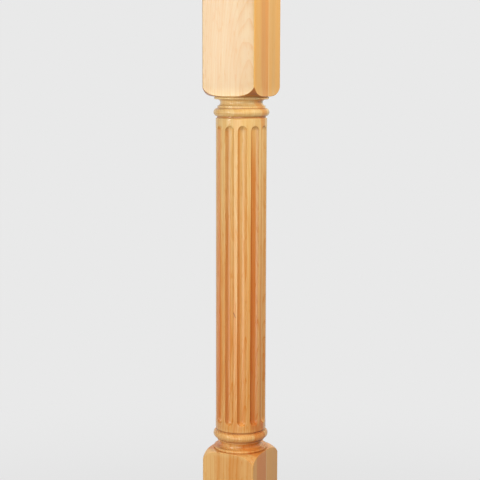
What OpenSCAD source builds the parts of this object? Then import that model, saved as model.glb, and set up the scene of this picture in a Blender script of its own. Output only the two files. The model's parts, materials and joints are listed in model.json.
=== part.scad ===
// Newel post: a square blank, turned and fluted between two square blocks.
// Millimetres. +Z is up, the origin is the middle of the foot, and -Y is the front face.
// The turning is the same at both ends of the shaft: the upper end is the lower one mirrored.

/* [Blank] */
// Side of the square blank
post_w = 90; // [70:1:140]
// Radius of the eased long edges
arris_r = 2; // [0.5:0.5:4]
// Height of the lower block, from the floor to its shoulder
base_h = 400; // [150:5:700]
// Height of the upper block, from its shoulder to the top
head_h = 240; // [100:5:500]
// Chamfer around the top
top_chamfer = 3; // [1:0.5:10]

/* [Shaft] */
// Length of the turning, from shoulder to shoulder
turning_h = 560; // [250:5:900]
// Depth of the shaft's face below the faces of the blank
shaft_in = 5; // [4:0.5:9]
// Chamfer at each end of the shaft
shaft_chamfer = 1.4; // [0.5:0.1:2]

/* [Shoulder and ring] */
// Reach of each shoulder's flat past the shaft, before it rounds over
shoulder_out = 3.5; // [3:0.1:4.5]
// Reach of the thin ring past the shaft
ring_out = 2.7; // [1:0.1:3.5]
// Thickness of the thin ring
ring_t = 4; // [2:0.2:8]
// Gap sunk between the ring and the shoulder
ring_gap = 0.4; // [0.2:0.1:1]

/* [Neck] */
// Depth of the neck below the face of the shaft, at the bottom of its cove
neck_in = 7; // [5:0.5:9]
// Radius of the cove
cove_r = 5; // [4:0.5:7]
// Depth of the flat band, between cove and bead, below the face of the shaft
band_in = 2.6; // [1:0.1:4]
// Width of that flat band
band_t = 3.3; // [1:0.1:6]

/* [Bead] */
// Reach of the bead past the shaft
bead_out = 3.5; // [2:0.1:4.5]
// Radius of the bead's round
bead_r = 6.4; // [5:0.2:8]
// Depth of the sunk fillet, between bead and shaft, below the face of the shaft
fillet_in = 2; // [1.5:0.1:4]
// Width of that sunk fillet
fillet_t = 2; // [1:0.1:4]

/* [Flutes] */
// Number of flutes around the shaft
flute_count = 12; // [6:1:14]
// Width of each flute at the face of the shaft
flute_w = 14.6; // [8:0.2:16]
// Depth of each flute
flute_depth = 5.4; // [3:0.2:7]
// Plain length of shaft left at each end of the flutes
flute_margin = 10.4; // [4:0.2:60]

/* [Hidden] */

$fn = 128;
wood = [0.86, 0.68, 0.45];
past = 1;

post_h = base_h + turning_h + head_h;
half_w = post_w / 2;
corner_r = half_w * sqrt(2);
shaft_r = half_w - shaft_in;
shoulder_r = shaft_r + shoulder_out;
shoulder_round = corner_r - shoulder_r;
ring_r = shaft_r + ring_out;
neck_r = shaft_r - neck_in;
band_r = shaft_r - band_in;
bead_mid_r = shaft_r + bead_out - bead_r;
fillet_r = shaft_r - fillet_in;

// Places along the turning, each measured in from the shoulder.
ring_end = ring_gap + ring_t;
cove_mid = ring_end + cove_r;
band_end = cove_mid + cove_r + band_t;
bead_mid = band_end + bead_r;
fillet_end = bead_mid + bead_r + fillet_t;
shaft_start = fillet_end + shaft_chamfer;

// The round cutter that makes a flute of this width and depth, and how far out its middle runs.
flute_floor = shaft_r - flute_depth;
flute_mouth = sqrt(pow(shaft_r, 2) - pow(flute_w / 2, 2));
flute_sag = flute_mouth - flute_floor;
cutter_r = (pow(flute_w / 2, 2) + pow(flute_sag, 2)) / (2 * flute_sag);
cutter_out = flute_floor + cutter_r;
// How far its round end cuts past its middle, along the face of the shaft.
cutter_reach = sqrt(pow(cutter_r, 2) - pow(cutter_out - shaft_r, 2));
flute_start = shaft_start + flute_margin + cutter_reach;

// A rectangle from the axis out to radius r, between two heights of the turning.
module band(r, from, to) {
    translate([0, from]) square([r, to - from]);
}

// The thin ring: a disc whose rim is half round.
module ring_outline() {
    rim = ring_t / 2;
    band(ring_r - rim, ring_gap, ring_end);
    translate([ring_r - rim, ring_gap + rim]) circle(r = rim);
}

// The hollow neck, with its flat band above.
module neck_outline() {
    difference() {
        band(band_r, ring_end, band_end);
        translate([neck_r + cove_r, cove_mid]) circle(r = cove_r);
    }
}

// The round bead, with the sunk fillet that parts it from the shaft.
module bead_outline() {
    band(bead_mid_r, band_end, bead_mid + bead_r);
    translate([bead_mid_r, bead_mid]) circle(r = bead_r);
    band(fillet_r, bead_mid, fillet_end);
}

// A shoulder: the blank's corners come in along a quarter round and end flat at shoulder_r.
module shoulder_outline(length) {
    band(shoulder_r, -length, 0);
    intersection() {
        translate([shoulder_r, -shoulder_round]) circle(r = shoulder_round);
        translate([0, -shoulder_round]) square([corner_r + past, shoulder_round]);
    }
    band(corner_r + past, -length, -shoulder_round);
}

// Half of the turned outline, from a block of the given length up to mid shaft.
module half_outline(length) {
    mid = turning_h / 2 + past;
    shoulder_outline(length);
    band(neck_r, -past, shaft_start);
    ring_outline();
    neck_outline();
    bead_outline();
    polygon([
        [0, fillet_end],
        [shaft_r - shaft_chamfer, fillet_end],
        [shaft_r, shaft_start],
        [shaft_r, mid],
        [0, mid]
    ]);
}

// The whole turned outline: the lower half, and the same half mirrored down from the head.
module turned_outline() {
    translate([0, base_h]) half_outline(base_h + past);
    translate([0, base_h + turning_h]) mirror([0, 1]) half_outline(head_h + past);
}

// The square blank, with its four long edges eased.
module blank() {
    inner = half_w - arris_r;
    translate([-inner, -half_w, 0]) cube([2 * inner, post_w, post_h]);
    translate([-half_w, -inner, 0]) cube([post_w, 2 * inner, post_h]);
    for (x = [-inner, inner], y = [-inner, inner]) {
        translate([x, y, 0]) cylinder(r = arris_r, h = post_h);
    }
}

// A wedge that chamfers the front edge of the top.
module top_cut() {
    rotate([90, 0, 90])
        linear_extrude(height = post_w + 2 * past, center = true)
            polygon([
                [-half_w - past, post_h - top_chamfer - past],
                [-half_w - past, post_h + past],
                [-half_w + top_chamfer + past, post_h + past]
            ]);
}

// The front flute: the path of a round-ended cutter along the shaft.
module flute() {
    low = base_h + flute_start;
    high = base_h + turning_h - flute_start;
    translate([0, -cutter_out, 0]) {
        translate([0, 0, low]) cylinder(r = cutter_r, h = high - low);
        translate([0, 0, low]) sphere(r = cutter_r);
        translate([0, 0, high]) sphere(r = cutter_r);
    }
}

module newel_post() {
    color(wood)
    difference() {
        intersection() {
            blank();
            rotate_extrude() turned_outline();
        }
        for (i = [0:3]) rotate([0, 0, i * 90]) top_cut();
        for (i = [0:flute_count - 1]) rotate([0, 0, i * 360 / flute_count]) flute();
    }
}

newel_post();
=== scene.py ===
# A square newel post in satin-lacquered beech, turned and fluted between two plain blocks.
# Metres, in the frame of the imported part: +Z up, -Y out of the front face, the foot on Z = 0.

import json
import math

import bpy
import numpy as np
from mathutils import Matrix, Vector


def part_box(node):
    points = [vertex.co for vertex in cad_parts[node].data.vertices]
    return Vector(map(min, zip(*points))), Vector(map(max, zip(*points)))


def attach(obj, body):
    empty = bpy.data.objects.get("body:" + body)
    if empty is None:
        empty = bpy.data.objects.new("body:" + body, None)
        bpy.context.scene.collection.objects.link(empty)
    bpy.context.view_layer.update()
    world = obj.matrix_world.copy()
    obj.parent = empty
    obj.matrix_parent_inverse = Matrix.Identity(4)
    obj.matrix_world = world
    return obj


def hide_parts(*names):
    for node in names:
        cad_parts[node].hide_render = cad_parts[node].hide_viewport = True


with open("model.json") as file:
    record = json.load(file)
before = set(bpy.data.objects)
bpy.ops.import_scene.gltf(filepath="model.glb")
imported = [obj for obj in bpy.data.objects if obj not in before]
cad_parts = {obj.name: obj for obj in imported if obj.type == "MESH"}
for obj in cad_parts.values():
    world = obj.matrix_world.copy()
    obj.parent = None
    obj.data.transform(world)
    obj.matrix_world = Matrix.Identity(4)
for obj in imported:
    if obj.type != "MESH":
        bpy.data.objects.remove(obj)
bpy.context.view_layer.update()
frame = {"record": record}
MM = 0.001


# ---- Sizes ---------------------------------------------------------------------------------


def mount_height(name):
    """Height above the floor of one of the post's mounting points."""
    return next(m["pos_m"][2] for m in frame["record"]["mounts"] if m["name"] == name)


post_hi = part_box("newel_post")[1]
HALF_W = post_hi.x
TOP = post_hi.z
# A block is mounted at mid height, so its shoulder is twice as far from its cut end.
LOW_SHOULDER = 2 * mount_height("string_front")
HIGH_SHOULDER = 2 * mount_height("rail_front") - TOP
HALF_TURNING = (HIGH_SHOULDER - LOW_SHOULDER) / 2

ARRIS_R = 2 * MM
TOP_CHAMFER = 3 * MM
SHAFT_R = HALF_W - 5 * MM
SHOULDER_R = SHAFT_R + 3.5 * MM
SHOULDER_ROUND = HALF_W * math.sqrt(2) - SHOULDER_R
RING_R = SHAFT_R + 2.7 * MM
NECK_R = SHAFT_R - 7 * MM
BAND_R = SHAFT_R - 2.6 * MM
BEAD_ROUND = 6.4 * MM
BEAD_MID_R = SHAFT_R + 3.5 * MM - BEAD_ROUND
FILLET_R = SHAFT_R - 2 * MM
SHAFT_CHAMFER = 1.4 * MM

# Places along the turning, each measured in from its shoulder.
RING_START = 0.4 * MM
RING_HALF = 2 * MM
# The saw-thin gap under the ring, as deep as the lacquer has left it open.
GAP_R = RING_R - 1.7 * MM
RING_END = RING_START + 2 * RING_HALF
COVE_ROUND = 5 * MM
COVE_MID = RING_END + COVE_ROUND
BAND_END = COVE_MID + COVE_ROUND + 3.3 * MM
BEAD_MID = BAND_END + BEAD_ROUND
FILLET_END = BEAD_MID + BEAD_ROUND + 2 * MM
SHAFT_START = FILLET_END + SHAFT_CHAMFER

# Flutes, cut by a round-ended cutter whose middle runs CUTTER_OUT from the axis.
FLUTES = 12
FLUTE_W = 14.6 * MM
FLUTE_FLOOR = SHAFT_R - 5.4 * MM
FLUTE_MARGIN = 10.4 * MM
FLUTE_HALF = math.asin(FLUTE_W / 2 / SHAFT_R)
FLUTE_SAG = SHAFT_R * math.cos(FLUTE_HALF) - FLUTE_FLOOR
CUTTER_R = ((FLUTE_W / 2) ** 2 + FLUTE_SAG ** 2) / (2 * FLUTE_SAG)
CUTTER_OUT = FLUTE_FLOOR + CUTTER_R
CUTTER_REACH = math.sqrt(CUTTER_R ** 2 - (CUTTER_OUT - SHAFT_R) ** 2)
FLUTE_START = SHAFT_START + FLUTE_MARGIN + CUTTER_REACH

# How far either side of a crease the sandpaper has rounded it.
SANDED = 0.35 * MM
# A block's plain rows are spread from its cut end to PLAIN_END short of its shoulder, and the
# rows that follow the shoulder's curve start CURVE_RUN short of it.
PLAIN_END = 30 * MM
CURVE_RUN = 26 * MM


# ---- The post's surface ----------------------------------------------------------------------


def column_angles():
    """Angles round the axis, from the front. Each flute's columns close up towards its edges as a
    sine does, and the land between has more columns at its middle, where the block's arris is."""
    half_sector = math.pi / FLUTES
    inside = FLUTE_HALF * np.sin(np.linspace(-1, 1, 17) * np.pi / 2)
    share = np.array([0.09, 0.2, 0.4, 0.62, 0.71, 0.78, 0.85, 0.925, 1])
    land = FLUTE_HALF + (half_sector - FLUTE_HALF) * share
    sector = np.concatenate((-land[::-1], inside, land[:-1]))
    middles = np.arange(FLUTES) * 2 * half_sector
    return (middles[:, None] + sector).ravel(), np.tile(sector, FLUTES)


ANGLE, FROM_FLUTE = column_angles()


def from_face():
    """Angle of each column from the nearest face's square-on line, 0 at its middle, 45 degrees at
    an arris."""
    quarter = math.pi / 2
    return np.abs((ANGLE + quarter / 2) % quarter - quarter / 2)


OFF_FACE = from_face()


def block_radius():
    """Distance from the axis to the block's outline: half the width over the cosine of the angle
    off the face, and on an arris the far side of a small circle sat in the corner."""
    flat = HALF_W / np.cos(OFF_FACE)
    corner = math.sqrt(2) * (HALF_W - ARRIS_R)
    off_corner = math.pi / 4 - OFF_FACE
    under = ARRIS_R ** 2 - (corner * np.sin(off_corner)) ** 2
    eased = corner * np.cos(off_corner) + np.sqrt(np.maximum(under, 0))
    on_arris = (under > 0) & (flat * np.sin(OFF_FACE) > HALF_W - ARRIS_R)
    return np.where(on_arris, eased, flat)


BLOCK_R = block_radius()


def strip(radius, along, creases=()):
    """Some rows of the surface: radius and distance from the shoulder, each a number, a column of
    one value per row, or a whole grid. creases lists the rows that lie on a worn edge."""
    radius, along = np.broadcast_arrays(radius, along, np.zeros((1, len(ANGLE))))[:2]
    worn = np.zeros(len(radius), bool)
    worn[list(creases)] = True
    return radius, along, worn


def upright(*values):
    """Values as a column, one per row."""
    return np.array(values, float)[:, None]


def between(start, end, *shares):
    """Rows at these shares of the way from start to end."""
    return start + (end - start) * upright(*shares)


def arc(mid_r, mid_along, radius, start, end, rows):
    """A round stretch of the outline: a circle about a point, from one angle to another."""
    turn = np.linspace(start, end, rows)[:, None]
    return strip(mid_r + radius * np.cos(turn), mid_along + radius * np.sin(turn))


def cut_end(block_h, outline):
    """The flat end of a block, from near its middle out to its edge."""
    inner = outline - SANDED
    return strip(inner * upright(0.02, 0.25, 0.5, 0.75, 0.95, 1), -block_h)


def foot_rows(block_h):
    """The foot, and its edge, rounded by sandpaper only enough to take the splinters off."""
    rise = upright(0, SANDED, 3 * SANDED)
    return (
        cut_end(block_h, BLOCK_R),
        strip(BLOCK_R, rise - block_h, creases=[0]),
    )


def head_rows(block_h):
    """The top, and the chamfer round it: its outline is a square that shrinks as it rises, so each
    column's radius is that square's half width over the cosine of the angle off the face. It
    starts where that radius first falls below the block's own."""
    start = TOP_CHAMFER - (HALF_W - BLOCK_R * np.cos(OFF_FACE))
    down = np.vstack((
        np.zeros_like(start),
        between(0, start, 0.12, 0.5, 0.88),
        start,
        start + SANDED,
        start + 4 * SANDED,
    ))
    square = (HALF_W - TOP_CHAMFER + down) / np.cos(OFF_FACE)
    return (
        cut_end(block_h, square[0]),
        strip(np.minimum(square, BLOCK_R), down - block_h, creases=[0, 4]),
    )


def block_rows(block_h):
    """The block's plain length, short of the rows round its shoulder's curve."""
    return strip(BLOCK_R, between(-block_h, -PLAIN_END, 0.1, 0.35, 0.65, 0.9))


def shoulder_rows():
    """The quarter round that takes the block's corners in: radius = shoulder + round x sin(turn),
    distance = round x (cos(turn) - 1). It meets the block where that radius is the block's own,
    and the rows follow that curve, so the crease is one clean line of edges."""
    meet = np.arcsin((BLOCK_R - SHOULDER_R) / SHOULDER_ROUND)
    crease = SHOULDER_ROUND * (np.cos(meet) - 1)
    face = between(-CURVE_RUN, crease - 3 * SANDED, 0, 0.4, 0.75, 1)
    edge = np.vstack((crease - SANDED, crease))
    after = meet - SANDED / SHOULDER_ROUND
    turn = after * upright(1, 0.93, 0.84, 0.72, 0.6, 0.47, 0.34, 0.22, 0.11, 0.04, 0)
    return (
        strip(BLOCK_R, face),
        strip(BLOCK_R, edge, creases=[1]),
        strip(SHOULDER_R + SHOULDER_ROUND * np.sin(turn), SHOULDER_ROUND * (np.cos(turn) - 1)),
    )


def ring_rows():
    """The flat inside the shoulder, the saw-thin gap under the ring, and its half-round rim."""
    return (
        strip(upright(SHOULDER_R - 1 * MM, GAP_R), 0),
        strip(upright(GAP_R), RING_START),
        arc(RING_R - RING_HALF, RING_START + RING_HALF, RING_HALF, -math.pi / 2, math.pi / 2, 9),
        strip(BAND_R, RING_END),
    )


def neck_rows():
    """The cove, most of a half circle hollowed into the neck, and the flat band after it."""
    mouth = math.acos((NECK_R + COVE_ROUND - BAND_R) / COVE_ROUND)
    return (
        arc(NECK_R + COVE_ROUND, COVE_MID, COVE_ROUND, math.pi + mouth, math.pi - mouth, 13),
        strip(BAND_R, upright(BAND_END - SANDED)),
    )


def bead_rows():
    """The bead, a round that springs from the band and ends on the sunk fillet."""
    spring = math.acos((BAND_R - BEAD_MID_R) / BEAD_ROUND)
    land = math.acos((FILLET_R - BEAD_MID_R) / BEAD_ROUND)
    return (
        arc(BEAD_MID_R, BEAD_MID, BEAD_ROUND, -spring, land, 17),
        strip(FILLET_R, upright(FILLET_END)),
    )


def shaft_end_rows():
    """The chamfer that starts the shaft, and the plain band before the flutes."""
    return (
        strip(
            upright(SHAFT_R - SHAFT_CHAMFER, SHAFT_R - SANDED, SHAFT_R, SHAFT_R, SHAFT_R),
            upright(FILLET_END, SHAFT_START - SANDED, SHAFT_START, SHAFT_START + SANDED,
                    SHAFT_START + 4 * SANDED),
            creases=[2],
        ),
    )


def fluted_radius(along):
    """Radius of the fluted shaft: along each column, the near side of the cutter's circle, which
    is out x cos(angle) - sqrt(cutter^2 - (out x sin(angle))^2). Past its last station the round
    end of the cutter shrinks that circle as a ball does."""
    beyond = np.maximum(FLUTE_START - along, 0)
    under = CUTTER_R ** 2 - beyond ** 2 - (CUTTER_OUT * np.sin(FROM_FLUTE)) ** 2
    cut = CUTTER_OUT * np.cos(FROM_FLUTE) - np.sqrt(np.maximum(under, 0))
    in_flute = (np.abs(FROM_FLUTE) < FLUTE_HALF) & (under > 0)
    return np.where(in_flute, np.minimum(cut, SHAFT_R), SHAFT_R)


def flute_rows():
    """The flutes' round ends and their straight run to mid shaft. The rows follow the curve where
    the ball leaves the shaft's face, at start - sqrt(cutter^2 - distance^2), with the distance of
    that column's face point from the cutter's middle."""
    off = np.minimum(np.abs(FROM_FLUTE), FLUTE_HALF)
    apart = CUTTER_OUT ** 2 + SHAFT_R ** 2 - 2 * CUTTER_OUT * SHAFT_R * np.cos(off)
    tip = FLUTE_START - np.sqrt(np.maximum(CUTTER_R ** 2 - apart, 0))
    before = FLUTE_START - CUTTER_REACH - 3 * MM
    after = FLUTE_START + 2 * MM
    plain = np.vstack((between(before, tip - SANDED, 0, 0.5, 1), tip))
    ball = between(tip, after, 0.015, 0.045, 0.09, 0.15, 0.23, 0.33, 0.45, 0.58, 0.72, 0.86, 1)
    run = between(after, HALF_TURNING, 0.12, 0.28, 0.46, 0.64, 0.82, 1)
    return (
        strip(SHAFT_R, plain, creases=[3]),
        strip(fluted_radius(ball), ball),
        strip(fluted_radius(run), run),
    )


def half_post(block_h, end_rows):
    """All the rows from a block's cut end to mid shaft."""
    strips = (
        *end_rows(block_h),
        block_rows(block_h),
        *shoulder_rows(),
        *ring_rows(),
        *neck_rows(),
        *bead_rows(),
        *shaft_end_rows(),
        *flute_rows(),
    )
    radius, along, worn = (np.concatenate(part) for part in zip(*strips))
    return radius, along, worn


def post_grid():
    """The whole surface as a grid of points. The lower half runs up from the foot, and the upper
    half is the same outline measured down from the high shoulder. A worn row or flute edge moves
    half-way to the middle of its neighbours, which rounds it over."""
    low_r, low_along, low_worn = half_post(LOW_SHOULDER, foot_rows)
    high_r, high_along, high_worn = half_post(TOP - HIGH_SHOULDER, head_rows)
    radius = np.vstack((low_r, high_r[-2::-1]))
    height = np.vstack((LOW_SHOULDER + low_along, HIGH_SHOULDER - high_along[-2::-1]))
    worn = np.flatnonzero(np.concatenate((low_worn, high_worn[-2::-1])))
    grid = np.stack((radius * np.sin(ANGLE), -radius * np.cos(ANGLE), height), axis=-1)
    grid[worn] = grid[worn] / 2 + (grid[worn - 1] + grid[worn + 1]) / 4
    edge = np.flatnonzero(np.isclose(np.abs(FROM_FLUTE), FLUTE_HALF))
    beside = (grid[:, edge - 1] + grid[:, (edge + 1) % len(ANGLE)]) / 4
    grid[:, edge] = grid[:, edge] / 2 + beside
    return grid


def closed_mesh(name, grid):
    """A mesh of quads over a grid whose columns go all the way round, with each end closed by a
    fan about a point on the axis. The order of corners faces every side outwards."""
    rows, columns = grid.shape[:2]
    here = np.arange(columns)
    after = (here + 1) % columns
    level = np.arange(rows - 1)[:, None] * columns
    quads = np.stack((level + here, level + after, level + columns + after,
                      level + columns + here), axis=-1).reshape(-1, 4)
    foot = rows * columns
    last = (rows - 1) * columns
    foot_fan = np.stack((np.full(columns, foot), after, here), axis=-1)
    top_fan = np.stack((np.full(columns, foot + 1), last + here, last + after), axis=-1)
    poles = np.array([[0, 0, grid[0, 0, 2]], [0, 0, grid[-1, 0, 2]]])
    points = np.vstack((grid.reshape(-1, 3), poles))
    mesh = bpy.data.meshes.new(name)
    mesh.from_pydata(points, [], quads.tolist() + foot_fan.tolist() + top_fan.tolist())
    mesh.polygons.foreach_set("use_smooth", np.ones(len(mesh.polygons), bool))
    mesh.set_sharp_from_angle(angle=math.radians(50))
    mesh.update()
    return mesh


def turned_post():
    """The post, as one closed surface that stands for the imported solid."""
    post = bpy.data.objects.new("turned_post", closed_mesh("turned_post", post_grid()))
    bpy.context.scene.collection.objects.link(post)
    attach(post, "root")
    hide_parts("newel_post")
    return post


# ---- Shader bench ----------------------------------------------------------------------------


class Bench:
    """Lays out and wires shader nodes in one tree, with a short call for each kind used here."""

    def __init__(self, tree):
        self.tree = tree

    def node(self, kind, **settings):
        made = self.tree.nodes.new("ShaderNode" + kind)
        for name, value in settings.items():
            setattr(made, name, value)
        return made

    def feed(self, socket, value):
        """Wires a socket to another, or sets it to a plain value."""
        if isinstance(value, bpy.types.NodeSocket):
            self.tree.links.new(value, socket)
        else:
            socket.default_value = value

    def math(self, operation, *values):
        made = self.node("Math", operation=operation)
        for socket, value in zip(made.inputs, values):
            self.feed(socket, value)
        return made.outputs[0]

    def add(self, a, b):
        return self.math("ADD", a, b)

    def times(self, a, b):
        return self.math("MULTIPLY", a, b)

    def weighed(self, *pairs):
        """The sum of some values, each times its own weight."""
        total = 0.0
        for value, weight in pairs:
            total = self.add(total, self.times(value, weight))
        return total

    def blend(self, share, a, b):
        """A number between a and b."""
        made = self.node("Mix", data_type="FLOAT")
        self.feed(made.inputs["Factor"], share)
        self.feed(made.inputs[2], a)
        self.feed(made.inputs[3], b)
        return made.outputs[0]

    def tint(self, share, a, b, way="MIX"):
        """A colour between a and b, or a with b laid over it. The share is held from 0 to 1."""
        made = self.node("Mix", data_type="RGBA", blend_type=way)
        self.feed(made.inputs["Factor"], share)
        self.feed(made.inputs[6], a)
        self.feed(made.inputs[7], b)
        return made.outputs[2]

    def ease(self, value, start, end, low=0.0, high=1.0):
        """low up to start, high past end, and a smooth step between."""
        made = self.node("MapRange", interpolation_type="SMOOTHSTEP")
        for socket, number in zip(made.inputs, (value, start, end, low, high)):
            self.feed(socket, number)
        return made.outputs[0]

    def near(self, value, middle, outer, inner):
        """1 within inner of the middle, 0 past outer, and a smooth step between."""
        return self.ease(self.math("ABSOLUTE", self.add(value, -middle)), outer, inner)

    def axes(self, vector):
        """A vector's three parts."""
        made = self.node("SeparateXYZ")
        self.feed(made.inputs[0], vector)
        return made.outputs

    def moved(self, point, push, reach):
        """A point moved by a push, which is first multiplied by its reach along each axis."""
        made = self.node("VectorMath", operation="MULTIPLY_ADD")
        self.feed(made.inputs[0], push)
        made.inputs[1].default_value = reach
        self.feed(made.inputs[2], point)
        return made.outputs[0]

    def stretched(self, point, scale, shift):
        made = self.node("Mapping")
        self.feed(made.inputs["Vector"], point)
        made.inputs["Scale"].default_value = scale
        made.inputs["Location"].default_value = shift
        return made.outputs[0]

    def noise(self, point, scale, shift=(0, 0, 0), detail=2.0, give="Fac"):
        """Soft noise from 0 to 1, with its own fineness along each axis, in cells per metre."""
        made = self.node("TexNoise")
        self.feed(made.inputs["Vector"], self.stretched(point, scale, shift))
        made.inputs["Scale"].default_value = 1
        made.inputs["Detail"].default_value = detail
        return made.outputs[give]

    def sway(self, point, scale, shift=(0, 0, 0)):
        """The same noise less a half, so that it goes either way."""
        return self.add(self.noise(point, scale, shift), -0.5)

    def noise_vector(self, point, scale, shift):
        """Three such noises at once, less a half, so that they push either way."""
        made = self.node("VectorMath", operation="SUBTRACT")
        self.feed(made.inputs[0], self.noise(point, scale, shift, give="Color"))
        made.inputs[1].default_value = (0.5, 0.5, 0.5)
        return made.outputs[0]


def shader_group(name, inputs, outputs):
    """A new node group, with its bench and its end nodes. Sockets are {name: kind}."""
    group = bpy.data.node_groups.new(name, "ShaderNodeTree")
    for socket, kind in inputs.items():
        group.interface.new_socket(socket, in_out="INPUT", socket_type="NodeSocket" + kind)
    for socket, kind in outputs.items():
        group.interface.new_socket(socket, in_out="OUTPUT", socket_type="NodeSocket" + kind)
    start = group.nodes.new("NodeGroupInput")
    end = group.nodes.new("NodeGroupOutput")
    return group, Bench(group), start.outputs, end.inputs


def placed(bench, group, **values):
    """Places a group, with its inputs fed by name (underscores for spaces)."""
    made = bench.node("Group", node_tree=group)
    for name, value in values.items():
        bench.feed(made.inputs[name.replace("_", " ")], value)
    return made.outputs


# ---- Beech -----------------------------------------------------------------------------------

# The wood of each stretch of the post, between its marks and in the darkest of them. The
# shaft's paler top and the foot's redder, darker wood are painted light, for light that falls
# off down the post and the sheen on the upper shaft.
PALE_HEAD = (0.59, 0.385, 0.145, 1)
DARK_HEAD = (0.54, 0.265, 0.05, 1)
PALE_SHAFT = (0.75, 0.53, 0.23, 1)
DARK_SHAFT = (0.67, 0.38, 0.115, 1)
PALE_FOOT = (0.76, 0.44, 0.155, 1)
DARK_FOOT = (0.65, 0.25, 0.045, 1)
# The gold under the right face: streaks that follow the wood's bands, with a deeper gold tone
# painted on that face alone as painted light, the tone that face shows in the light from the right.
SIDE_GOLD = (0.79, 0.375, 0.065, 1)
GLUE_PALE = (0.82, 0.52, 0.2, 1)
# The brown of the painted shade in the hollows and under the head.
SHADE_BROWN = (0.36, 0.085, 0.006, 1)
FLECK_BROWN = (0.16, 0.05, 0.015, 1)
# These three take some of the colour off the wood they lie over: the dark wood near the heart,
# which on the shaft's sides is also painted shade; a band of painted shade down the shaft; and
# painted shade on the walls of the flutes.
HEARTWOOD_AND_SHADE = (0.91, 0.60, 0.32, 1)
SHADE_BAND_BROWN = (0.84, 0.48, 0.18, 1)
WALL_SHADE = (0.78, 0.53, 0.32, 1)

# Where the hearts of the front and back staves are, and how far the wood behind the seam is from
# the wood before it in the noises.
FRONT_HEART = (37 * MM, 9.2 * MM)
BACK_HEART = (275 * MM, 330 * MM)
STAVE_SHIFT = (0.31, 0.23, 0.47)
# Width of a year's ring, and how far, over what length and about which height the heart sways.
RING_WIDTH = 2.9 * MM
SWAY = 6.5 * MM
SWAY_LENGTH = 0.57
SWAY_MIDDLE = HIGH_SHOULDER + 100 * MM

# Each quirk's height, and how far the painted shade at it reaches either way.
QUIRK_SHADES = (
    (LOW_SHOULDER + BAND_END - 0.6 * MM, 3.2 * MM),
    (LOW_SHOULDER + FILLET_END - 0.8 * MM, 1.6 * MM),
    (HIGH_SHOULDER - RING_END - 0.3 * MM, 1.1 * MM),
    (HIGH_SHOULDER - BAND_END, 0.8 * MM),
    (HIGH_SHOULDER - FILLET_END + 1.0 * MM, 1.8 * MM),
)
# Where the fleck is, and how far it leans over for each metre down.
FLECK_X = 8.8 * MM
FLECK_Z = LOW_SHOULDER + 223 * MM
FLECK_LEAN = 0.38
# Spacing of the cutter's chatter marks.
CHATTER = 2.7 * MM


def growth_rings():
    """Group: rings round a heart line that sways along the tree. The distance from the heart,
    with a slow drift and a small waver added, is counted in rings; each ring darkens steadily
    to its late wood and then breaks off. Ring Tone is each year's own darkness, with spells of
    dark and pale years."""
    group, bench, given, out = shader_group(
        "growth_rings",
        {"Point": "Vector", "Heart X": "Float", "Heart Y": "Float"},
        {"Late Wood": "Float", "Ring Tone": "Float"},
    )
    point = given["Point"]
    x, y, z = bench.axes(point)
    turn = bench.times(bench.add(z, -SWAY_MIDDLE), 2 * math.pi / SWAY_LENGTH)
    heart_y = bench.add(given["Heart Y"], bench.times(bench.math("SINE", turn), SWAY))
    aside = bench.math("SUBTRACT", x, given["Heart X"])
    ahead = bench.math("SUBTRACT", heart_y, y)
    reach = bench.math("SQRT", bench.add(bench.times(aside, aside), bench.times(ahead, ahead)))
    count = bench.weighed(
        (reach, 1 / RING_WIDTH),
        (bench.sway(point, (12, 12, 3.2)), 3.2),
        (bench.sway(point, (70, 70, 16), (2, 6, 1)), 0.55),
    )
    part = bench.math("FRACT", count)
    late = bench.times(bench.math("POWER", part, 6), bench.ease(part, 1, 0.93))
    year = bench.node("TexWhiteNoise", noise_dimensions="1D")
    bench.feed(year.inputs["W"], bench.math("FLOOR", count))
    spell = bench.node("TexNoise", noise_dimensions="1D")
    bench.feed(spell.inputs["W"], bench.times(count, 0.55))
    spell.inputs["Scale"].default_value = 1
    spell.inputs["Detail"].default_value = 1
    spells = bench.ease(spell.outputs["Fac"], 0.36, 0.64)
    bench.feed(out["Late Wood"], late)
    bench.feed(out["Ring Tone"], bench.blend(0.65, year.outputs["Value"], spells))
    return group


def long_fibres():
    """Group: what runs lengthwise in the wood. Bands, flame, streaks and fuzz are noise drawn out
    along the post, from broad to very fine. Pores are short dark dashes, where another fine
    noise peaks."""
    group, bench, given, out = shader_group(
        "long_fibres",
        {"Point": "Vector"},
        {"Bands": "Float", "Flame": "Float", "Streaks": "Float", "Pores": "Float",
         "Fuzz": "Float"},
    )
    point = given["Point"]
    dashes = bench.noise(point, (330, 330, 62), (8, 5, 2), detail=1)
    bench.feed(out["Bands"], bench.noise(point, (60, 60, 2.4), detail=3))
    bench.feed(out["Flame"], bench.noise(point, (150, 150, 11), (5, 8, 2)))
    bench.feed(out["Streaks"], bench.noise(point, (260, 260, 5), (3, 1, 7), detail=3))
    bench.feed(out["Pores"], bench.ease(dashes, 0.6, 0.72))
    bench.feed(out["Fuzz"], bench.noise(point, (1500, 1500, 60), (4, 9, 1)))
    return group


class Spot:
    """The point being shaded: its place, its distance from the axis, the way it faces, and what
    share, from 0 to 1, it has of each part of the post that the wood's looks follow."""

    def __init__(self, bench):
        self.here = bench.node("TexCoord").outputs["Object"]
        self.x, self.y, self.z = bench.axes(self.here)
        squared = bench.add(bench.times(self.x, self.x), bench.times(self.y, self.y))
        self.radius = bench.math("SQRT", squared)
        normal = bench.node("NewGeometry").outputs["Normal"]
        self.facing_x, self.facing_y, self.facing_z = bench.axes(normal)
        self.low_down = bench.ease(self.z, LOW_SHOULDER + 60 * MM, LOW_SHOULDER)
        self.in_flute = bench.ease(self.radius, SHAFT_R - 0.2 * MM, FLUTE_FLOOR - 0.5 * MM)
        self.end_grain = bench.ease(bench.math("ABSOLUTE", self.facing_z), 0.6, 0.95)
        self.right_skin = bench.ease(self.x, HALF_W - 1.5 * MM, HALF_W - 0.2 * MM)


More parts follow.
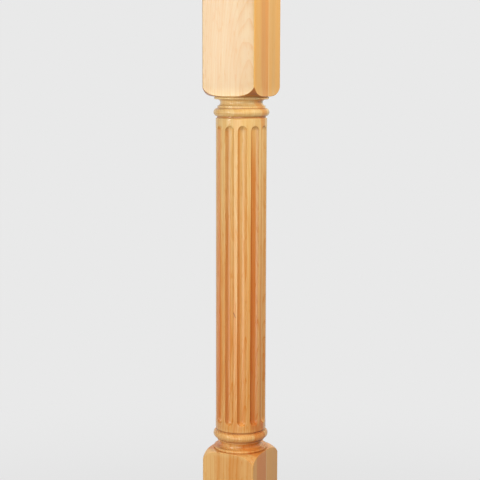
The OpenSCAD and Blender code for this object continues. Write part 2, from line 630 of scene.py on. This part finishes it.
def staves(bench, spot):
    """Two staves, glued at a seam that wanders by a fraction of a millimetre. Gives 1 behind the
    seam, 1 in the glue line, and the point in its own stave's wood. The grain there leans and
    wanders on its way up, by a few millimetres each way."""
    seam = bench.times(bench.sway(spot.here, (0, 0, 9), (5, 5, 5)), 1.2 * MM)
    past_seam = bench.math("SUBTRACT", spot.y, seam)
    behind = bench.ease(past_seam, 2.2 * MM, 2.5 * MM)
    glue = bench.near(past_seam, 3.4 * MM, 1.6 * MM, 0.9 * MM)
    lean = bench.noise_vector(spot.here, (16, 16, 6), (7, 3, 2))
    shifted = bench.moved(spot.here, behind, STAVE_SHIFT)
    return behind, glue, bench.moved(shifted, lean, (12 * MM, 12 * MM, 0))


def broad_stretches(bench, spot, behind):
    """Broad stretches of the front stave, each from 0 to 1: dark wood near the heart, beside the
    seam, broadest low down, which on the shaft's sides also stands in as painted shade on the
    flutes there; one brown band of painted shade down the shaft, under the front-right flute;
    and pale sapwood low down on the left."""
    wander = bench.times(bench.sway(spot.here, (0, 0, 5), (9, 2, 4)), 9 * MM)
    head_start = HIGH_SHOULDER - 60 * MM
    head_end = HIGH_SHOULDER + 40 * MM
    depth = bench.add(
        bench.times(spot.low_down, -22 * MM),
        bench.ease(spot.z, head_start, head_end, -9 * MM, -22 * MM),
    )
    past = bench.math("SUBTRACT", bench.add(spot.y, wander), depth)
    heartwood_and_painted_shade = bench.times(
        bench.ease(past, -2 * MM, 3 * MM),
        bench.times(bench.math("SUBTRACT", 1, behind),
                    bench.ease(spot.z, head_start, head_end, 0.85, 0.5)),
    )
    # A band of painted shade down the shaft, in the front-right flute.
    across = bench.add(spot.y, bench.times(wander, 0.3))
    shade_band = bench.times(
        bench.times(bench.near(across, -19.5 * MM, 6.5 * MM, 4 * MM),
                    bench.ease(spot.x, 18 * MM, 24 * MM)),
        bench.times(bench.ease(spot.z, HIGH_SHOULDER - 25 * MM, HIGH_SHOULDER - 120 * MM),
                    bench.ease(spot.z, LOW_SHOULDER + 20 * MM, LOW_SHOULDER + 50 * MM)),
    )
    sapwood = bench.ease(bench.add(spot.x, wander), -13 * MM, -30 * MM)
    return heartwood_and_painted_shade, shade_band, bench.times(sapwood, spot.low_down)


def figure(bench, spot, rings, fibres, behind, sapwood):
    """How dark the wood's figure is at the spot, from 0 to 1. The broad figure is quiet in the
    head, other than under the right face. The flutes get a little painted shade. The lower
    mouldings, the upper neck and the arrises are paler, as a painted highlight. On an arris both
    |x| and |y| are near half the width."""
    broad = bench.weighed(
        (bench.ease(fibres["Bands"], 0.32, 0.68), 0.26),
        (bench.ease(fibres["Flame"], 0.36, 0.64), 0.24),
        (rings["Ring Tone"], 0.28),
    )
    calm = bench.times(
        bench.ease(spot.z, HIGH_SHOULDER - 30 * MM, HIGH_SHOULDER + 30 * MM),
        bench.blend(spot.right_skin, 0.65, 0.0),
    )
    painted_highlight = bench.math(
        "MAXIMUM",
        bench.near(spot.z, LOW_SHOULDER + 15 * MM, 24 * MM, 17 * MM),
        bench.near(spot.z, HIGH_SHOULDER - 8 * MM, 10 * MM, 7 * MM),
    )
    nearer = bench.math(
        "MINIMUM", bench.math("ABSOLUTE", spot.x), bench.math("ABSOLUTE", spot.y)
    )
    return bench.weighed(
        (broad, bench.math("SUBTRACT", 1, calm)),
        (bench.ease(fibres["Streaks"], 0.3, 0.7, -0.1, 0.9), 0.4),
        (rings["Late Wood"], 0.85),
        (fibres["Pores"], 0.42),
        (behind, -0.12),
        (bench.times(behind, spot.low_down), 0.25),
        # Painted shade in the flutes.
        (spot.in_flute, 0.09),
        (spot.end_grain, 0.12),
        (sapwood, -0.45),
        # Painted highlight on the lower mouldings, the upper neck and the arrises.
        (painted_highlight, -0.35),
        (bench.ease(nearer, HALF_W - 3 * MM, HALF_W - 1 * MM), -0.5),
    )


def plain_colour(bench, spot, darkness):
    """The wood from pale to dark. The top of the shaft is painted palest and the foot darkest and
    reddest, as painted light that falls off down the post, with painted sheen on the upper
    shaft, and the head has a tone of its own."""
    painted_light_up_shaft = bench.ease(spot.z, LOW_SHOULDER + 150 * MM, HIGH_SHOULDER - 10 * MM)
    in_head = bench.ease(spot.z, HIGH_SHOULDER - 2 * MM, HIGH_SHOULDER + 18 * MM)
    pale = bench.tint(in_head, bench.tint(painted_light_up_shaft, PALE_FOOT, PALE_SHAFT), PALE_HEAD)
    dark = bench.tint(in_head, bench.tint(painted_light_up_shaft, DARK_FOOT, DARK_SHAFT), DARK_HEAD)
    return bench.tint(darkness, pale, dark)


def painted_shade_undersides(bench, spot):
    """Painted shade under the head, on the faces that turn downwards beyond the shoulder."""
    return bench.times(
        bench.ease(spot.facing_z, -0.04, -0.35),
        bench.ease(spot.radius, SHOULDER_R - 1 * MM, SHOULDER_R + 1 * MM),
    )


def painted_shade_flute_walls(bench, spot):
    """The walls of the flutes, where the surface turns sideways, darkened as painted shade. Each
    flute's left wall has the more, the shade of a light from the left. How far sideways is
    (facing x times y, less facing y times x) over the radius."""
    across = bench.math(
        "SUBTRACT", bench.times(spot.facing_x, spot.y), bench.times(spot.facing_y, spot.x)
    )
    sideways = bench.math("DIVIDE", across, spot.radius)
    wall = bench.math(
        "MAXIMUM", bench.ease(sideways, -0.25, -0.75), bench.ease(sideways, 0.35, 0.85, 0, 0.3)
    )
    return bench.times(wall, bench.ease(spot.radius, SHAFT_R + 1 * MM, SHAFT_R - 0.3 * MM))


def painted_shade_quirks(bench, spot):
    """Painted shade in the sharp hollows beside the mouldings."""
    quirk = 0.0
    for middle, spread in QUIRK_SHADES:
        quirk = bench.math("MAXIMUM", quirk, bench.near(spot.z, middle, spread, 0))
    return bench.times(quirk, bench.ease(spot.radius, SHAFT_R - 0.4 * MM, SHAFT_R - 1.8 * MM))


def fleck(bench, spot):
    """One short dark fleck on the front of the shaft, between two flutes. It leans over to the
    right as it goes down."""
    beyond = bench.add(spot.z, -FLECK_Z)
    aside = bench.add(bench.add(spot.x, -FLECK_X), bench.times(beyond, FLECK_LEAN))
    shape = bench.times(
        bench.near(aside, 0, 0.9 * MM, 0.3 * MM), bench.near(beyond, 0, 5.5 * MM, 3 * MM)
    )
    return bench.times(shape, bench.math("LESS_THAN", spot.y, 0.0))


def fine_relief(bench, spot, rings, fibres):
    """The surface's finest relief, as a bumped normal. Fibres stand up through the lacquer, pores
    and late wood sink, and in places the cutter has left a fine chatter across the flutes."""
    ripple = bench.math("SINE", bench.times(spot.z, 2 * math.pi / CHATTER))
    patches = bench.ease(bench.noise(spot.here, (38, 38, 16), (4, 4, 9)), 0.55, 0.7)
    bump = bench.node("Bump")
    bump.inputs["Strength"].default_value = 0.35
    bump.inputs["Distance"].default_value = 0.06 * MM
    bench.feed(bump.inputs["Height"], bench.weighed(
        (fibres["Fuzz"], 0.5),
        (fibres["Streaks"], 0.8),
        (fibres["Pores"], -0.6),
        (rings["Late Wood"], -0.3),
        (bench.times(bench.times(ripple, patches), spot.in_flute), 0.9),
    ))
    return bump.outputs[0]


def beech():
    """Satin-lacquered beech. Two staves are glued at the seam, each with its own heart and its
    own fibres. The colour goes from pale to dark with rings, streaks and pores, and is darker on
    cut ends. Painted light makes it redder and darker towards the foot and paler up the shaft,
    painted shade darkens the flutes, their walls, the hollows beside the mouldings and the
    underside of the head, and a painted highlight makes the arrises paler."""
    material = bpy.data.materials.new("satin_beech")
    material.use_nodes = True
    tree = material.node_tree
    bench = Bench(tree)
    spot = Spot(bench)
    behind, glue, in_stave = staves(bench, spot)
    rings = placed(
        bench, growth_rings(), Point=in_stave,
        Heart_X=bench.blend(behind, FRONT_HEART[0], BACK_HEART[0]),
        Heart_Y=bench.blend(behind, FRONT_HEART[1], BACK_HEART[1]),
    )
    fibres = placed(bench, long_fibres(), Point=in_stave)
    heartwood_and_painted_shade, shade_band, sapwood = broad_stretches(bench, spot, behind)
    # Gold streaks under the right face alone, their deeper tone painted light.
    painted_gold_streaks = bench.times(spot.right_skin, bench.ease(fibres["Bands"], 0.35, 0.65, 0.42, 0.7))

    # Each mark is laid over the ones before it, at its own strength.
    colour = plain_colour(bench, spot, figure(bench, spot, rings, fibres, behind, sapwood))
    for mark, strength, tone, way in (
        (painted_gold_streaks, 1.0, SIDE_GOLD, "MIX"),
        (heartwood_and_painted_shade, 1.0, HEARTWOOD_AND_SHADE, "MULTIPLY"),
        (shade_band, 0.85, SHADE_BAND_BROWN, "MULTIPLY"),
        (painted_shade_flute_walls(bench, spot), 0.8, WALL_SHADE, "MULTIPLY"),
        (glue, 0.5, GLUE_PALE, "MIX"),
        (painted_shade_undersides(bench, spot), 0.85, SHADE_BROWN, "MIX"),
        (painted_shade_quirks(bench, spot), 0.75, SHADE_BROWN, "MIX"),
        (fleck(bench, spot), 0.8, FLECK_BROWN, "MIX"),
    ):
        colour = bench.tint(bench.times(mark, strength), colour, tone, way)
    rough = bench.add(0.18, bench.weighed((fibres["Streaks"], 0.08), (spot.end_grain, 0.12)))

    surface = tree.nodes["Principled BSDF"]
    bench.feed(surface.inputs["Base Color"], colour)
    bench.feed(surface.inputs["Roughness"], rough)
    bench.feed(surface.inputs["Normal"], fine_relief(bench, spot, rings, fibres))
    surface.inputs["IOR"].default_value = 1.36
    surface.inputs["Coat Weight"].default_value = 0.1
    surface.inputs["Coat Roughness"].default_value = 0.15
    return material


# ---- Studio ----------------------------------------------------------------------------------

# The backdrop as it is seen, and the even light that comes from all round.
BACKDROP = 0.815
ROOM_LIGHT = 0.16
FLOOR_GREY = (0.42, 0.42, 0.42, 1)
# The share of the floor at the foot that is lit, the radii between which that share fades out,
# and what the rest gains to make up for it.
LIT_SHARE = 0.4
LIT_RADIUS = 0.3
FADE_RADIUS = 1.8
EVEN_GAIN = 0.35
# Half the side of the floor.
FLOOR_HALF = 9.0


def seen_directly(bench):
    """1 for what the camera sees, straight or through a reflection or glass, else 0."""
    path = bench.node("LightPath").outputs
    seen = bench.math("MAXIMUM", path["Is Camera Ray"], path["Is Glossy Ray"])
    return bench.math("MAXIMUM", seen, path["Is Transmission Ray"])


def pale_world():
    """Even light from all round, seen as a pale grey backdrop."""
    world = bpy.data.worlds.new("pale_room")
    world.use_nodes = True
    bench = Bench(world.node_tree)
    shade = world.node_tree.nodes["Background"]
    shade.inputs["Color"].default_value = (1, 1, 1, 1)
    strength = bench.blend(seen_directly(bench), ROOM_LIGHT, BACKDROP)
    bench.feed(shade.inputs["Strength"], strength)
    bpy.context.scene.world = world


def floor_finish():
    """Matt and pale. Seen directly it is the backdrop's own grey, so it has no far edge, but round
    the foot part of it is lit, and takes the post's soft shadow."""
    material = bpy.data.materials.new("matt_pale_floor")
    material.use_nodes = True
    tree = material.node_tree
    bench = Bench(tree)
    tree.nodes.remove(tree.nodes["Principled BSDF"])
    lit = bench.node("BsdfDiffuse")
    lit.inputs["Color"].default_value = FLOOR_GREY
    even = bench.node("Emission")
    even.inputs["Color"].default_value = (1, 1, 1, 1)
    reach = bench.node("VectorMath", operation="LENGTH")
    bench.feed(reach.inputs[0], bench.node("TexCoord").outputs["Object"])
    near_foot = bench.ease(reach.outputs["Value"], LIT_RADIUS, FADE_RADIUS, LIT_SHARE, 0.0)
    gained = bench.add(BACKDROP, bench.times(near_foot, EVEN_GAIN))
    bench.feed(even.inputs["Strength"], gained)
    unlit = bench.times(seen_directly(bench), bench.math("SUBTRACT", 1, near_foot))
    join = bench.node("MixShader")
    bench.feed(join.inputs[0], unlit)
    bench.feed(join.inputs[1], lit.outputs[0])
    bench.feed(join.inputs[2], even.outputs[0])
    bench.feed(tree.nodes["Material Output"].inputs["Surface"], join.outputs[0])
    return material


def pale_floor():
    """A wide square of floor at the height of the foot."""
    side = (-FLOOR_HALF, FLOOR_HALF)
    corners = [(x, y, 0) for y in side for x in side]
    mesh = bpy.data.meshes.new("pale_floor")
    mesh.from_pydata(corners, [], [(0, 1, 3, 2)])
    mesh.materials.append(floor_finish())
    floor = bpy.data.objects.new("pale_floor", mesh)
    bpy.context.scene.collection.objects.link(floor)


def around(azimuth, distance, height):
    """A place seen from the post's axis: azimuth in degrees from the front, positive to the right."""
    turn = math.radians(azimuth)
    return Vector((distance * math.sin(turn), -distance * math.cos(turn), height))


def softbox(name, place, aim, width, tall, glow, in_gloss=True):
    """A rectangular soft light that faces the post's axis at the height aim. glow is how much
    brighter its face is than white paper in plain light: power = 4 x area x glow."""
    light = bpy.data.lights.new(name, "AREA")
    light.shape = "RECTANGLE"
    light.size = width
    light.size_y = tall
    light.energy = 4 * width * tall * glow
    lamp = bpy.data.objects.new(name, light)
    lamp.location = place
    toward = Vector((0, 0, aim)) - place
    lamp.rotation_euler = toward.to_track_quat("-Z", "Y").to_euler()
    lamp.visible_glossy = in_gloss
    bpy.context.scene.collection.objects.link(lamp)


def studio_lights():
    """A softbox to the front left, level with the head of the post, a weaker, broad one in front,
    level with the shaft, and three fills, overhead, to the right and behind, that don't show in
    the lacquer."""
    softbox("key", around(-28, 1.2, 1.12), aim=1.05, width=0.22, tall=0.46, glow=12.6)
    softbox("front", around(10, 1.6, 0.62), aim=0.62, width=1.1, tall=1.1, glow=2.7)
    softbox("overhead", around(-30, 1.1, 2.3), aim=0.85, width=1, tall=1, glow=1.2, in_gloss=False)
    softbox("right", around(82, 0.95, 1.6), aim=1, width=0.6, tall=0.6, glow=8.8, in_gloss=False)
    softbox("back", around(-150, 1.9, 2.1), aim=0.8, width=1.4, tall=1.2, glow=4.6, in_gloss=False)


def camera():
    """Just above the upper shoulder, to the right of the front face, looking slightly down."""
    lens = bpy.data.cameras.new("camera")
    lens.lens = 92.56
    lens.sensor_width = 36
    lens.clip_end = 40
    made = bpy.data.objects.new("camera", lens)
    azimuth = 27.42
    distance = 1.925
    made.location = around(azimuth, distance, HIGH_SHOULDER + 35.7 * MM)
    tilt, roll, turn = 90 - 7.70, -0.15, azimuth + 0.072
    made.rotation_euler = (math.radians(tilt), math.radians(roll), math.radians(turn))
    bpy.context.scene.collection.objects.link(made)
    bpy.context.scene.camera = made


post = turned_post()
post.data.materials.append(beech())
pale_world()
pale_floor()
studio_lights()
camera()
bpy.context.scene.view_settings.view_transform = "Standard"
